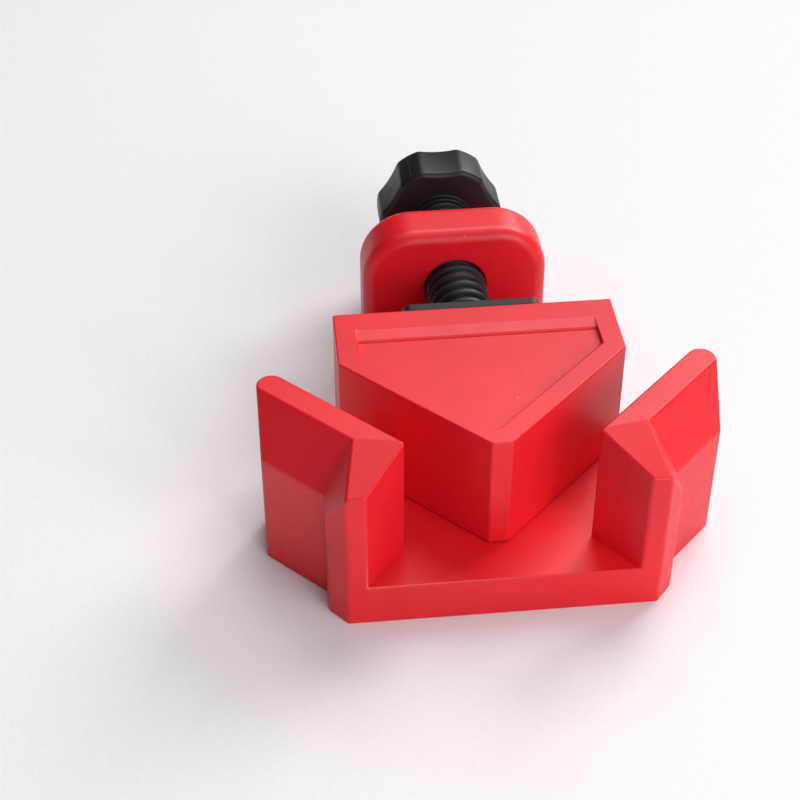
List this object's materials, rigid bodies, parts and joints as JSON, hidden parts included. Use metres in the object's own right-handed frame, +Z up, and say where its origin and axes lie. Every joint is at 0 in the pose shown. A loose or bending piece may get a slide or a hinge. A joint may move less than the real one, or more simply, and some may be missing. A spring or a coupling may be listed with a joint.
{
  "type": "corner clamp",
  "caption": "Right-angle corner clamp with two faceted fences, a sliding V jaw on a guided tongue, and a coarse screw with a lobed knob.",
  "frame": {"origin": "on the underside, below the middle of the bounding box", "axes": "+X right seen from the open corner, +Y from the corner towards the knob, +Z up"},
  "size_m": [0.1408, 0.1832, 0.0571],
  "materials": {
    "red_plastic": "satin moulded",
    "black_plastic": "satin moulded",
    "steel": "zinc plated"
  },
  "bodies": {
    "base": {"clamp_body": "red_plastic"},
    "jaw": {"moving_jaw": "red_plastic", "thrust_plate": "black_plastic", "plate_screws": "steel", "thrust_washer": "steel", "guide_keeper": "black_plastic", "keeper_screws": "steel"},
    "spindle": {"lead_screw": "black_plastic", "knob": "black_plastic", "knob_washer": "steel", "knob_screw": "steel", "knob_cap": "black_plastic"}
  },
  "joints": [
    {"name": "jaw_travel", "type": "slide", "parent": "base", "child": "jaw", "axis": [0, 1, 0], "range_m": [-0.0185, 0.0348]},
    {"name": "screw_turn", "type": "hinge", "parent": "jaw", "child": "spindle", "pos_m": [0, 0, 0.0336], "axis": [0, 1, 0], "range_deg": [-1333, 2506.6]}
  ],
  "couplings": [
    {"joint": "screw_turn", "follows": "jaw_travel", "rad_per_m": 1256.6}
  ]
}
